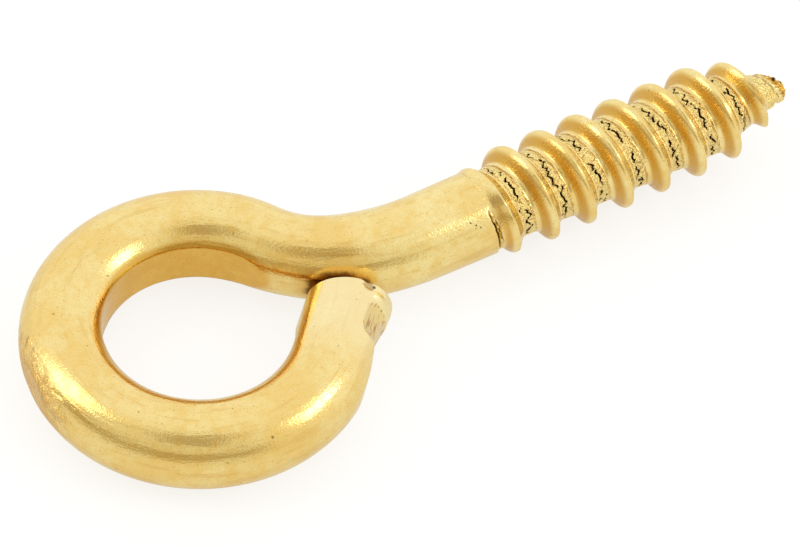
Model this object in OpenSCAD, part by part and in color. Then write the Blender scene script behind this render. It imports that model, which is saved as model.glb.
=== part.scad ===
// Small brass screw eye, made from one length of wire. One end is closed into
// an eye round a mandrel and sheared off against the shank. The other end is
// rolled into a coarse wood thread, whose gimlet point has broken off.
// The origin is the middle of the eye, +Z is the axis of the eye, and +X runs
// down the shank to the point.

/* [Wire] */
// Diameter of the wire that the eye and the neck are bent from
wire_d = 3.0; // [2.9:0.05:3.1]
// Diameter of the plain shank beside the thread, which the rolling has swelled a little
shank_d = 3.06; // [3:0.02:3.1]

/* [Eye] */
// Bore of the eye: the mandrel that it is closed round leaves a flat of this diameter
bore_d = 6.6; // [6.5:0.05:6.7]
// Circle that the middle of the wire follows round the eye
eye_circle_d = 9.2; // [9.1:0.05:9.3]
// Depth of the flat that the forming tool leaves on the far side of the eye
tool_flat_depth = 0.1; // [0.04:0.01:0.14]
// Where that flat lies round the eye (degrees)
tool_flat_angle = 172; // [150:1:200]

/* [Wire end] */
// Where the wire leaves the eye's circle for its straight end (degrees)
end_angle = -43.2; // [-45:0.2:-42]
// Length of the straight end, to the top of its domed face
end_len = 3.1; // [2.9:0.05:3.15]
// Diameter that the straight end is drawn down to
end_d = 2.86; // [2.8:0.02:2.96]
// Radius of the domed face that the shear leaves
dome_r = 3.0; // [2.8:0.1:3.4]
// How far the top of the dome sits towards the outer side
dome_shift = 0.4; // [0.3:0.05:0.8]
// Depth that the closing tool presses into the outer side, next to the rim
press_depth = 0.26; // [0.2:0.02:0.34]

/* [Neck] */
// Radius of the reverse bend next to the eye
neck_r = 5.0; // [4.8:0.1:5.4]
// Radius of the gentler bend that runs out into the shank
runout_r = 9.0; // [8:0.5:10]
// Angle that the gentler bend turns through (degrees)
runout_angle = 15.6; // [12:0.2:18]
// Sideways distance of the shank's axis from the middle of the eye
shank_offset = 0.18; // [0:0.02:0.3]

/* [Thread] */
// Where the plain shank ends in a blunt shoulder, from the middle of the eye
shank_end_x = 11.38; // [11.2:0.02:11.5]
// Where the broken point ends, from the middle of the eye
tip_x = 23.45; // [23.3:0.05:23.8]
// Pitch of the right-hand thread
pitch = 1.5; // [1.4:0.05:1.6]
// Diameter over the crests
major_d = 3.74; // [3.6:0.02:3.9]
// Diameter at the root, between the crests
minor_d = 2.72; // [2.6:0.02:2.8]
// Diameter of the stub where the point broke off
stub_d = 1.1; // [1:0.05:1.3]

/* [Hidden] */
brass = [0.86, 0.70, 0.36];
fine = 96;
wire_r = wire_d / 2;
eye_r = eye_circle_d / 2;
// The middles of the two bends of the neck. The tighter one touches the eye's
// circle at neck_angle, and the gentler one meets the shank at runout_x.
runout_y = shank_offset + runout_r;
neck_y = runout_y - (runout_r - neck_r) * cos(runout_angle);
neck_x = sqrt(pow(eye_r + neck_r, 2) - pow(neck_y, 2));
neck_angle = atan2(neck_y, neck_x);
runout_x = neck_x + (runout_r - neck_r) * sin(runout_angle);
// Bars that meet end to end are by turns the full wire and one thinner by this
// much, whose ends run on by lap_len inside their neighbours.
lap_depth = 0.008;
lap_len = 0.08;
// The closing tool's round corner, and where along the straight end it bears.
press_corner_r = 1.1;
press_corner_at = 1.55;
// The closing tool's nearly flat face, and where its middle bears and how deep.
press_face_r = 10;
press_face_at = 0.5;
press_face_depth = 0.19;
// The face starts this far along, where it has run out of the wire.
press_face_from = -2;
// The flights start inside the shank, and the middle of one crest crosses the +Y
// side at crest_x.
thread_start_x = 10.9;
crest_x = 11.02;
// Half width of a flight at its crest, and at its root on the eye's side and on
// the point's side.
crest_half = 0.07;
eye_flank = 0.38;
point_flank = 0.46;
// The crests rise out of the shank over rise_len, steeply at first.
rise_len = 1.7;
rise_power = 0.45;
// The root starts to narrow here, and has the stub's diameter after taper_len.
root_taper_x = tip_x - 2.9;
taper_len = 2.5;
// The crests start to fade a little before, slowly at first.
crest_taper_x = tip_x - 3.15;
fade_rate = 0.2;
fade_power = 1.6;
// The torn face at the point leans by tear_lean from square, towards tear_turn
// round the axis.
tear_lean = 38;
tear_turn = 35;
// The hollow in it: its diameter, its depth, and how far it is from the axis.
core_hollow_d = 0.18;
core_hollow_depth = 0.3;
core_hollow_y = 0.22;
// Side of the blocks that cut the flats, larger than anything they cut.
cutter = 4;
// The threaded skin has this many columns a turn and this many rows a pitch.
columns = 36;
rows_per_pitch = 12;

function clamp01(t) = min(1, max(0, t));
function smooth(t) = let (u = clamp01(t)) u * u * (3 - 2 * u);
function mix(a, b, t) = a + (b - a) * t;

// An arc of wire round +Z, from one angle to another.
module wire_arc(bend_r, from, to) {
    rotate([0, 0, from])
        rotate_extrude(angle = to - from, $fn = 2 * fine)
            translate([bend_r, 0]) circle(r = wire_r, $fn = fine);
}

// The same, a hair thinner and run on a little at both ends.
module lapped_arc(bend_r, from, to) {
    lap_angle = lap_len / bend_r * 180 / PI;
    rotate([0, 0, from - lap_angle])
        rotate_extrude(angle = to - from + 2 * lap_angle, $fn = 2 * fine)
            translate([bend_r, 0]) circle(r = wire_r - lap_depth, $fn = fine);
}

// Puts its children where the eye's arc ends, with +Z along the wire, +X to the
// outer side and +Y to the underside.
module at_wire_end() {
    rotate([0, 0, end_angle]) translate([eye_r, 0, 0]) rotate([-90, 0, 0]) children();
}

module eye() {
    lapped_arc(eye_r, neck_angle, 360 + end_angle);
}

module neck() {
    translate([neck_x, neck_y, 0]) wire_arc(neck_r, 180 + neck_angle, 270 - runout_angle);
    translate([runout_x, runout_y, 0]) lapped_arc(runout_r, 270 - runout_angle, 270);
}

module shank() {
    translate([runout_x, shank_offset, 0]) rotate([0, 90, 0])
        cylinder(r1 = wire_r, r2 = shank_d / 2, h = shank_end_x - runout_x, $fn = fine);
}

// The straight end, sheared off with a domed face.
module wire_end() {
    at_wire_end() intersection() {
        cylinder(r1 = wire_r, r2 = end_d / 2, h = end_len, $fn = fine);
        translate([dome_shift, 0, end_len - dome_r]) sphere(r = dome_r, $fn = fine);
    }
}

// A round bar laid across the wire's outer side, pressed in by depth at a distance
// along the straight end.
module press_bar(r, depth, at) {
    translate([wire_r - depth + r, 0, at]) rotate([90, 0, 0])
        cylinder(r = r, h = wire_d + 1, center = true, $fn = 2 * fine);
}

// What the closing tool presses away on the outer side of the straight end: a long
// shallow face, and a corner that stops short of the rim.
module press_mark() {
    at_wire_end() {
        press_bar(press_corner_r, press_depth, press_corner_at);
        intersection() {
            press_bar(press_face_r, press_face_depth, press_face_at);
            translate([0, -cutter / 2, press_face_from])
                cube([cutter, cutter, press_corner_at - press_face_from]);
        }
    }
}

// What broke away from the point: the torn face leans back from the stub's end, and
// the hollow that rolling leaves along the middle of the core is open in it.
module torn_point() {
    translate([tip_x, shank_offset, 0]) rotate([tear_turn, 0, 0]) {
        rotate([0, 0, tear_lean]) translate([0, -cutter / 2, -cutter / 2]) cube(cutter);
        translate([-core_hollow_depth, core_hollow_y, 0]) rotate([0, 90, 0])
            cylinder(d = core_hollow_d, h = 1, $fn = 32);
    }
}

// What the forming tool flattens on the far side of the eye.
module tool_flat() {
    rotate([0, 0, tool_flat_angle])
        translate([eye_r + wire_r - tool_flat_depth, -cutter / 2, -cutter / 2]) cube(cutter);
}

// Height of the flight over the root, from 0 to 1, at a distance along X from
// the middle of its crest.
function flight(d) =
    let (reach = d < 0 ? eye_flank : point_flank)
    1 - smooth((abs(d) - crest_half) / (reach - crest_half));

// Distance along X from a point of the skin to the middle of the nearest crest.
function crest_distance(x, angle) =
    let (turns = (x - crest_x) / pitch - angle / 360)
    (turns - round(turns)) * pitch;

// The root narrows to the stub, and the crests rise out of the shank at one end
// and fade into the root at the other.
function root_radius(x) = mix(minor_d / 2, stub_d / 2, clamp01((x - root_taper_x) / taper_len));
function crest_radius(x) =
    let (rise = pow(clamp01((x - thread_start_x) / rise_len), rise_power),
         fade = fade_rate * pow(max(0, x - crest_taper_x), fade_power))
    max(root_radius(x), mix(minor_d / 2, major_d / 2, rise) - fade);

// Radius of the threaded skin.
function skin_radius(x, angle) =
    mix(root_radius(x), crest_radius(x), flight(crest_distance(x, angle)));

// The skin's rows climb with the helix, so that each crest is one clean edge, and
// they stop at the two end planes. A new row starts at the shank every columns_per_row
// columns, and one ends at the point.
columns_per_row = columns / rows_per_pitch;
row_len = pitch / rows_per_pitch;
rows = floor((tip_x - thread_start_x) / row_len);
skin_end_x = thread_start_x + rows * row_len;
function column_xs(i) =
    let (climb = (i % columns_per_row) / columns_per_row)
    climb == 0
        ? [for (k = [0 : rows]) thread_start_x + k * row_len]
        : [thread_start_x, for (k = [0 : rows - 1]) thread_start_x + (k + climb) * row_len, skin_end_x];

// Index of a column's first point: columns that start a row hold one point fewer.
function column_start(i) = i * (rows + 2) - ceil(i / columns_per_row);

function skin_points() = [
    for (i = [0 : columns - 1])
        let (angle = 360 * i / columns)
        for (x = column_xs(i))
            let (r = skin_radius(x, angle)) [x, r * cos(angle), r * sin(angle)]
];

function skin_faces() = [
    for (i = [0 : columns - 1])
        let (next = (i + 1) % columns,
             a = column_start(i),
             b = column_start(next),
             opens = i % columns_per_row == 0,
             closes = next % columns_per_row == 0,
             shift = opens ? 1 : 0)
        each concat(
            opens ? [[a, b + 1, b]] : [],
            [for (k = [0 : rows - (opens || closes ? 1 : 0)])
                each [[a + k, b + k + shift + 1, b + k + shift],
                      [a + k, a + k + 1, b + k + shift + 1]]],
            closes ? [[a + rows, a + rows + 1, b + rows]] : []),
    [for (i = [0 : columns - 1]) column_start(i)],
    [for (i = [columns - 1 : -1 : 0]) column_start(i + 1) - 1]
];

module thread() {
    translate([0, shank_offset, 0])
        polyhedron(points = skin_points(), faces = skin_faces(), convexity = 8);
}

module screw_eye() {
    color(brass) difference() {
        union() {
            eye();
            neck();
            shank();
            wire_end();
            thread();
        }
        cylinder(d = bore_d, h = wire_d + 1, center = true, $fn = 2 * fine);
        press_mark();
        tool_flat();
        torn_point();
    }
}

screw_eye();
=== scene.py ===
"""The looks of a small brass screw eye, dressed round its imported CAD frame.

The screw eye is one length of wire: an eye bent round a mandrel and sheared off, a
plain shank, and a coarse thread rolled into the rest. Sizes are in millimetres, and
the finished mesh is scaled to metres. Angles round the wire run from its left side,
seen along the wire from the sheared end, over the top.
"""

import logging
import math
from dataclasses import dataclass, field
from enum import Enum
from typing import Any, ClassVar

import bpy
import numpy as np
from mathutils import Matrix, Vector


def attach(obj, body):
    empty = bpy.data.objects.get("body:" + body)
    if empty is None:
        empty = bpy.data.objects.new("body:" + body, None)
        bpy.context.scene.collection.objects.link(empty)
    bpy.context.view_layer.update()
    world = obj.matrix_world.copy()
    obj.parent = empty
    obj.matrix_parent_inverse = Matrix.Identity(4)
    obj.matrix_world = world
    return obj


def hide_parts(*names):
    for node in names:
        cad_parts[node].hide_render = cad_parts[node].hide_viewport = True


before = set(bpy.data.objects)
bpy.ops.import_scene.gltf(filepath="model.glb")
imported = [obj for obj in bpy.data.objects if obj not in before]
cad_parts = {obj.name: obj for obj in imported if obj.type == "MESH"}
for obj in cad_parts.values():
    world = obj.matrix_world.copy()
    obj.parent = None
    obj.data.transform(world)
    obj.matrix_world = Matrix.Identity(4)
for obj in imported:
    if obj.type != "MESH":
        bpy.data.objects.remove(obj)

LOG = logging.getLogger("screw_eye")
MM = 0.001
TURN = 2 * math.pi
NODE = "screw_eye"
BODY = "root"
DRAWN = "drawn"
SENSOR_WIDTH = 36.0
FRAME_WIDTH = 800
# A skin whose outward direction has a smaller cosine than this faces away from a tool,
# and this radius is more than any that a tool could leave.
GRAZING = 0.05
FREE_R = 9.0
# A short step along the wire shows which way it heads.
SHORT_STEP = 0.01

Rows = tuple[tuple[Any, ...], ...]
Points = tuple[tuple[float, float], ...]


def linear(colour: str) -> tuple[float, float, float, float]:
    """Turns an sRGB hex colour to the linear values that Blender works in.

    Args:
        colour: The colour, such as "#F2D98E".

    Returns:
        Linear red, green and blue, and full opacity.
    """
    parts = [int(colour[i : i + 2], 16) / 255 for i in (1, 3, 5)]
    red, green, blue = (
        c / 12.92 if c <= 0.04045 else ((c + 0.055) / 1.055) ** 2.4 for c in parts
    )
    return red, green, blue, 1.0


def add_node(
    tree: bpy.types.NodeTree,
    kind: str,
    settings: dict[str, Any] | None = None,
    inputs: dict[str | int, Any] | None = None,
) -> bpy.types.Node:
    """Adds a node to a tree, with its settings and links.

    Args:
        tree: The shader or geometry tree.
        kind: The node's type, such as "ShaderNodeMath".
        settings: The node's own properties, by name.
        inputs: By name or index, a constant, a socket, or a node whose first output
            is linked.

    Returns:
        The node.
    """
    made = tree.nodes.new(kind)
    for name, value in (settings or {}).items():
        setattr(made, name, value)
    for key, value in (inputs or {}).items():
        if isinstance(value, bpy.types.Node):
            value = value.outputs[0]
        if isinstance(value, bpy.types.NodeSocket):
            tree.links.new(value, made.inputs[key])
        else:
            made.inputs[key].default_value = value
    return made


class Kind(Enum):
    """What a row of a node table adds, where it isn't a sum of numbers.

    Each holds the node's type and settings, the inputs that the row's terms go to, and
    the output that is kept.
    """

    FADE = (
        "ShaderNodeMapRange",
        {"interpolation_type": "SMOOTHSTEP"},
        ("Value", "From Min", "From Max", "To Min", "To Max"),
        0,
    )
    NOISE = ("ShaderNodeTexNoise", {}, ("Vector", "Scale", "Detail"), 0)
    LINE_NOISE = (
        "ShaderNodeTexNoise", {"noise_dimensions": "1D"}, ("W", "Scale", "Detail"), 0
    )
    FLAKES = (
        "ShaderNodeTexVoronoi", {"feature": "DISTANCE_TO_EDGE"}, ("Vector", "Scale"), 0
    )
    POINT = ("ShaderNodeCombineXYZ", {}, (0, 1, 2), 0)
    SCALED = ("ShaderNodeVectorMath", {"operation": "SCALE"}, (0, "Scale"), 0)
    SHIFTED = ("ShaderNodeVectorMath", {"operation": "ADD"}, (0, 1), 0)
    STRETCHED = ("ShaderNodeVectorMath", {"operation": "MULTIPLY"}, (0, 1), 0)
    UNIT = ("ShaderNodeVectorMath", {"operation": "NORMALIZE"}, (0,), 0)
    CROSS = ("ShaderNodeVectorMath", {"operation": "CROSS_PRODUCT"}, (0, 1), 0)
    DISTANCE = ("ShaderNodeVectorMath", {"operation": "DISTANCE"}, (0, 1), 1)
    TOWARDS = ("ShaderNodeVectorMath", {"operation": "DOT_PRODUCT"}, (0, 1), 1)
    TINT = ("ShaderNodeMix", {"data_type": "RGBA"}, (0, 6, 7), 2)
    SHADE = (
        "ShaderNodeMix", {"data_type": "RGBA", "blend_type": "MULTIPLY"}, (0, 6, 7), 2
    )


# What a sum's sign stands for: an operation, how many terms follow the sign, and the
# place of the value so far among them.
SIGNS: dict[str, tuple[str, int, int]] = {
    "+": ("ADD", 1, 0),
    "-": ("SUBTRACT", 1, 0),
    "from": ("SUBTRACT", 1, 1),
    "*": ("MULTIPLY", 1, 0),
    "/": ("DIVIDE", 1, 0),
    "*+": ("MULTIPLY_ADD", 2, 0),
    "+*": ("MULTIPLY_ADD", 2, 2),
    "mod": ("MODULO", 1, 0),
    "^": ("POWER", 1, 0),
    "min": ("MINIMUM", 1, 0),
    "max": ("MAXIMUM", 1, 0),
    "<": ("LESS_THAN", 1, 0),
    ">": ("GREATER_THAN", 1, 0),
    "atan2": ("ARCTAN2", 1, 0),
    "abs": ("ABSOLUTE", 0, 0),
    "cos": ("COSINE", 0, 0),
    "sin": ("SINE", 0, 0),
    "floor": ("FLOOR", 0, 0),
    "fract": ("FRACT", 0, 0),
    "round": ("ROUND", 0, 0),
    "sqrt": ("SQRT", 0, 0),
}


def work_out(tree: bpy.types.NodeTree, known: dict[str, Any], rows: Rows) -> None:
    """Adds a table of nodes to a tree.

    Args:
        tree: The shader or geometry tree.
        known: Nodes, sockets and numbers by name. Each result is added to it.
        rows: Each result's name, then a Kind and its terms, or a sum: its first term and
            its signs and further terms, worked out from left to right. Terms are names
            or values.
    """
    for name, first, *rest in rows:
        if isinstance(first, Kind):
            node, settings, places, output = first.value
            inputs = {place: known.get(term, term) for place, term in zip(places, rest)}
            known[name] = add_node(tree, node, settings, inputs).outputs[output]
            continue
        value = known.get(first, first)
        while rest:
            operation, count, place = SIGNS[rest.pop(0)]
            terms = [known.get(term, term) for term in rest[:count]]
            terms.insert(place, value)
            del rest[:count]
            inputs = dict(enumerate(terms))
            value = add_node(tree, "ShaderNodeMath", {"operation": operation}, inputs).outputs[0]
        known[name] = value


def set_curve(node: bpy.types.Node, spots: Points, handles: str = "AUTO") -> None:
    """Draws the curve of a curve node through its points."""
    points = node.mapping.curves[0].points
    while len(points) < len(spots):
        points.new(0.5, 0.5)
    for point, spot in zip(points, spots):
        point.location = spot
        point.handle_type = handles
    node.mapping.update()


@dataclass(frozen=True)
class Stretch:
    """One stretch of the wire's centre-line, straight or bent to one radius."""

    length: float
    curvature: float = 0.0

    def travel(self, heading: float, run: Any) -> tuple[np.ndarray, Any]:
        """Runs along the stretch.

        Args:
            heading: The heading at its start, in radians.
            run: How far to run, as one distance or an array of them.

        Returns:
            The steps taken in X and Y, and the headings there.
        """
        turned = heading + self.curvature * run
        if not self.curvature:
            return np.array([run * math.cos(heading), run * math.sin(heading)]), turned
        ahead = (np.sin(turned) - math.sin(heading)) / self.curvature
        aside = (math.cos(heading) - np.cos(turned)) / self.curvature
        return np.array([ahead, aside]), turned


@dataclass(frozen=True)
class WirePath:
    """The centre-line of the wire, from its sheared end to the thread.

    It lies in the XY plane. The eye is round the origin, and the shank runs along +X.
    """

    eye_r: float = 4.6
    end_angle: float = -43.2
    end_len: float = 3.1
    neck_r: float = 5.0
    runout_r: float = 9.0
    runout_angle: float = 15.6
    shank_offset: float = 0.18
    shank_end_x: float = 11.38

    @property
    def stretches(self) -> tuple[Stretch, ...]:
        """The straight end, the eye, the two bends of the neck and the shank."""
        runout = math.radians(self.runout_angle)
        spare = self.runout_r - self.neck_r
        neck_y = self.shank_offset + self.runout_r - spare * math.cos(runout)
        neck_x = math.sqrt((self.eye_r + self.neck_r) ** 2 - neck_y**2)
        neck_angle = math.atan2(neck_y, neck_x)
        eye = TURN + math.radians(self.end_angle) - neck_angle
        neck = TURN / 4 - runout - neck_angle
        return (
            Stretch(self.end_len),
            Stretch(self.eye_r * eye, -1 / self.eye_r),
            Stretch(self.neck_r * neck, 1 / self.neck_r),
            Stretch(self.runout_r * runout, 1 / self.runout_r),
            Stretch(self.shank_end_x - neck_x - spare * math.sin(runout)),
        )

    @property
    def marks(self) -> list[float]:
        """How far along the wire each stretch ends."""
        return [float(m) for m in np.cumsum([s.length for s in self.stretches])]

    def at(self, along: np.ndarray) -> np.ndarray:
        """Places on the centre-line.

        Args:
            along: Distances along the wire from its sheared end.

        Returns:
            Points in X and Y, one row each.
        """
        end = math.radians(self.end_angle)
        heading = end - TURN / 4
        spot = self.eye_r * np.array([math.cos(end), math.sin(end)])
        spot = spot - self.end_len * np.array([math.cos(heading), math.sin(heading)])
        points = np.zeros((len(along), 2))
        start = 0.0
        for stretch in self.stretches:
            ahead = along >= start
            points[ahead] = spot + stretch.travel(heading, along[ahead] - start)[0].T
            step, heading = stretch.travel(heading, stretch.length)
            spot = spot + step
            start += stretch.length
        return points

    def curve(self, spacing: float = 0.02) -> bpy.types.Object:
        """The centre-line as a curve object, for the node tree that wraps the wire."""
        count = int(self.marks[-1] / spacing) + 1
        points = self.at(np.linspace(0, self.marks[-1], count))
        data = bpy.data.curves.new("wire_path", "CURVE")
        data.dimensions = "3D"
        spline = data.splines.new("POLY")
        spline.points.add(count - 1)
        rows = np.concatenate([points, np.zeros((count, 1)), np.ones((count, 1))], axis=1)
        spline.points.foreach_set("co", rows.ravel())
        return bpy.data.objects.new("wire_path", data)


def bell(values: np.ndarray, middle: float, half_width: float) -> np.ndarray:
    """A smooth hump of height 1 round a middle, 0 beyond its half width."""
    spread = np.clip(np.abs(values - middle) / half_width, 0, 1)
    return 0.5 + 0.5 * np.cos(spread * math.pi)


def ramp(values: np.ndarray, start: float, end: float) -> np.ndarray:
    """Rises smoothly from 0 at start to 1 at end."""
    rise = np.clip((values - start) / (end - start), 0, 1)
    return rise * rise * (3 - 2 * rise)


def new_mesh(name: str, points: np.ndarray, quads: np.ndarray) -> bpy.types.Mesh:
    """Makes a mesh from points and four-cornered faces."""
    mesh = bpy.data.meshes.new(name)
    mesh.from_pydata(points.tolist(), [], quads.tolist())
    return mesh


def grid_quads(rows: int, columns: int) -> np.ndarray:
    """Corners of the faces of a sheet with that many rows and columns of points."""
    corner = np.arange(rows - 1)[:, None] * columns + np.arange(columns - 1)[None, :]
    corner = corner.ravel()
    return np.stack([corner, corner + 1, corner + columns + 1, corner + columns], axis=1)


def show(obj: bpy.types.Object) -> bpy.types.Object:
    """Links an object to the scene."""
    bpy.context.scene.collection.objects.link(obj)
    return obj


def baked(obj: bpy.types.Object) -> bpy.types.Mesh:
    """A plain mesh of an object with its modifiers applied, and the object removed."""
    graph = bpy.context.evaluated_depsgraph_get()
    mesh = bpy.data.meshes.new_from_object(obj.evaluated_get(graph))
    obj.modifiers.clear()
    bpy.data.objects.remove(obj)
    return mesh


def set_input(modifier: bpy.types.NodesModifier, name: str, value: Any) -> None:
    """Sets an input of a node modifier by its name, through the socket's identifier."""
    for item in modifier.node_group.interface.items_tree:
        if item.item_type == "SOCKET" and item.in_out == "INPUT" and item.name == name:
            modifier[item.identifier] = value
            return
    raise KeyError(name)


def new_geometry_tree(name: str, inputs: dict[str, str]) -> bpy.types.NodeTree:
    """A geometry tree with a geometry input and output and named inputs.

    Args:
        name: The tree's name.
        inputs: Each further input's name, and the type of its socket.

    Returns:
        The tree, with its input and output nodes.
    """
    tree = bpy.data.node_groups.new(name, "GeometryNodeTree")
    face = tree.interface
    face.new_socket("Geometry", in_out="INPUT", socket_type="NodeSocketGeometry")
    face.new_socket("Geometry", in_out="OUTPUT", socket_type="NodeSocketGeometry")
    for label, kind in inputs.items():
        face.new_socket(label, in_out="INPUT", socket_type=kind)
    tree.nodes.new("NodeGroupInput")
    tree.nodes.new("NodeGroupOutput")
    return tree


def finish_tree(tree: bpy.types.NodeTree, skin: bpy.types.Node) -> None:
    """Ends a geometry tree: its skin is welded, made real and given the brass."""
    given = tree.nodes["Group Input"].outputs
    weld = {"Geometry": skin, "Distance": given["Weld"]}
    welded = add_node(tree, "GeometryNodeMergeByDistance", inputs=weld)
    real = add_node(tree, "GeometryNodeRealizeInstances", inputs={0: welded})
    finish = {"Geometry": real, "Material": given["Brass"]}
    dressed = add_node(tree, "GeometryNodeSetMaterial", inputs=finish)
    tree.links.new(dressed.outputs[0], tree.nodes["Group Output"].inputs["Geometry"])


def shaped(
    mesh: bpy.types.Mesh, tree: bpy.types.NodeTree, values: dict[str, Any]
) -> bpy.types.Mesh:
    """The plain mesh that a geometry tree makes of a mesh.

    Args:
        mesh: What the tree starts from.
        tree: The geometry tree.
        values: Its inputs by name.

    Returns:
        The shaped mesh.
    """
    obj = show(bpy.data.objects.new(mesh.name, mesh))
    modifier = obj.modifiers.new(tree.name, "NODES")
    modifier.node_group = tree
    for name, value in values.items():
        set_input(modifier, name, value)
    return baked(obj)


def cut_flat(stand: Any, outer: np.ndarray) -> np.ndarray:
    """The radius at which a flat cuts a round skin.

    Args:
        stand: How far the flat stands from the wire's middle.
        outer: The cosine of the angle between the skin's place and the flat's facing.

    Returns:
        Radii, free of the flat where the skin faces away from it.
    """
    return np.where(outer > GRAZING, stand / np.maximum(outer, GRAZING), FREE_R)


@dataclass(frozen=True)
class BentWire:
    """The eye, its sheared end, the neck and the plain shank, as one skin.

    The skin is laid out flat first: how far along the wire, the angle round it and the
    distance from its middle. A node tree then wraps it round the centre-line.
    """

    path: WirePath = field(default_factory=WirePath)
    columns: int = 120
    row_len: float = 0.1
    cap_rows: int = 14
    shoulder_rows: int = 6
    face_rows: int = 8
    face_from: float = 0.85
    wire_r: float = 1.5
    bore_r: float = 3.3
    end_r: float = 1.43
    dome_r: float = 3.0
    dome_shift: float = 0.4
    # Where along the wire the dome's rim is, nearly.
    rim_at: float = 0.3
    # How much thinner bending left the neck, how far past the eye, and over what reach.
    neck_thinning: tuple[float, float, float] = (0.07, 1.2, 2.4)
    shank_swell: float = 0.03
    shoulder_r: float = 0.04
    # How far back the shank ends, by the angle round it in degrees.
    shank_ends: Points = (
        (0, 0.0), (105, 0.0), (130, 0.46), (155, 0.37), (190, 0.23), (225, 0.08), (250, 0.0),
        (360, 0.0),
    )
    # The flats that the closing tool left on the straight end: which way each faces, in
    # degrees from the outer side, and how far out it left the metal, by the distance
    # before the eye.
    pinch: tuple[tuple[float, Points], ...] = (
        (-8, (
            (2.9, 1.7), (2.3, 1.5), (2.21, 1.451), (2.1, 1.36), (1.85, 1.28), (1.63, 1.23),
            (1.39, 1.213), (1.0, 1.234), (0.4, 1.30), (-0.3, 1.39), (-1.1, 1.48), (-1.6, 1.6),
        )),
        (30, (
            (2.9, 1.7), (2.3, 1.5), (2.15, 1.38), (2.0, 1.32), (1.2, 1.31), (0.9, 1.38),
            (0.6, 1.6), (-1.6, 1.6),
        )),
    )
    # How far into the eye those flats run.
    pinch_reach: float = 1.6
    # The metal it pushed up: along, degrees round, half length, half width, height.
    burr: tuple[tuple[float, float, float, float, float], ...] = (
        (0.35, 0, 0.6, 60, 0.06), (0.64, 42, 0.2, 20, 0.05), (0.95, 32, 0.2, 20, -0.04),
    )
    # The chip in the rim: along, degrees round, half length, half width, depth, and how
    # much its sides are steepened.
    chip: tuple[float, float, float, float, float, float] = (0.40, 62, 0.24, 14, 0.1, 1.6)
    tool_flat_depth: float = 0.1
    tool_flat_angle: float = 172.0
    # How far round the eye that flat is cut, in radians each way.
    tool_flat_reach: float = 0.5
    # Points nearer to each other than this are welded.
    weld: float = 0.002

    def dome(self, around: np.ndarray, reach: np.ndarray) -> np.ndarray:
        """How far along the wire the domed, sheared face lies, from its top.

        Args:
            around: Angles round the wire.
            reach: Distances from the wire's middle.

        Returns:
            Distances along the wire.
        """
        across = (reach * np.cos(around) - self.dome_shift) ** 2
        across = across + (reach * np.sin(around)) ** 2
        return self.dome_r - np.sqrt(self.dome_r**2 - across)

    def radius(self, along: np.ndarray) -> np.ndarray:
        """The wire's radius, as drawn and bent, at distances along it."""
        end, eye, neck, _, shank = self.path.marks
        thinning, past_eye, over = self.neck_thinning
        reach = np.full(along.shape, self.wire_r)
        reach -= (self.wire_r - self.end_r) * np.clip((end - along) / end, 0, 1)
        reach -= thinning * bell(along, eye + past_eye, over)
        reach += self.shank_swell * ramp(along, neck, shank)
        return reach

    def press(self, along: np.ndarray, around: np.ndarray, reach: np.ndarray) -> np.ndarray:
        """Shapes the skin where the closing tool and the forming tool bore on it.

        Args:
            along: Distances along the wire.
            around: Angles round it.
            reach: Radii before pressing.

        Returns:
            Radii after pressing.
        """
        end = self.path.marks[0]
        degrees = np.degrees(around)
        for at, turned, length, width, height in self.burr:
            away = (degrees - turned + 180) % 360 - 180
            reach = reach + height * bell(along, at, length) * bell(away, 0, width)
        for facing, stands in self.pinch:
            before, stand = np.array(stands).T
            limit = np.interp(along, end - before, stand)
            pressed = cut_flat(limit, np.cos(around - math.radians(facing)))
            reach = np.where(along < end + self.pinch_reach, np.minimum(reach, pressed), reach)
        at, turned, length, width, depth, steep = self.chip
        away = (degrees - turned + 180) % 360 - 180
        chipped = bell(along, at, length) * bell(away, 0, width)
        reach = reach - depth * np.minimum(steep * chipped, 1)
        # The forming tool's flat, on the far side of the eye.
        eye_r = self.path.eye_r
        middle = TURN + math.radians(self.path.end_angle - self.tool_flat_angle)
        turned = (along - end) / eye_r - middle
        near = np.abs(turned) < self.tool_flat_reach
        plane = eye_r + self.wire_r - self.tool_flat_depth
        flat = cut_flat(plane / np.cos(np.where(near, turned, 0)) - eye_r, np.cos(around))
        return np.where(near, np.minimum(reach, flat), reach)

    def clear_bore(self, along: np.ndarray, around: np.ndarray, reach: np.ndarray) -> np.ndarray:
        """Flattens the skin against the mandrel that the eye is bent round.

        Args:
            along: Distances along the wire.
            around: Angles round it.
            reach: Radii before.

        Returns:
            Radii that leave the bore clear.
        """
        spot = self.path.at(along.ravel())
        ahead = self.path.at(along.ravel() + SHORT_STEP) - spot
        left = np.stack([-ahead[:, 1], ahead[:, 0]], axis=1)
        left /= np.linalg.norm(left, axis=1)[:, None]
        out = (reach * np.cos(around)).ravel()
        inside = np.hypot(*(spot + out[:, None] * left).T) < self.bore_r
        # Where the line across the wire enters the bore.
        slope = (spot * left).sum(axis=1)
        gap = np.maximum(slope**2 - (spot**2).sum(axis=1) + self.bore_r**2, 0)
        entry = -slope + np.sqrt(gap)
        cos = np.cos(around).ravel()
        stop = entry / np.where(np.abs(cos) > GRAZING, cos, -1)
        return np.where(inside & (entry < 0), stop, reach.ravel()).reshape(reach.shape)

    def skin(self) -> bpy.types.Mesh:
        """The flat-laid skin, closed at both ends: X is along, Y around, Z outwards."""
        end, total = self.path.marks[0], self.path.marks[-1]
        turns = np.linspace(0, TURN, self.columns + 1)
        places, short = np.array(self.shank_ends).T
        total = total - np.interp(np.degrees(turns), places, short)
        rim = self.dome(turns, self.radius(np.full(turns.shape, self.rim_at)))
        rows, reaches = [], []
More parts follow.
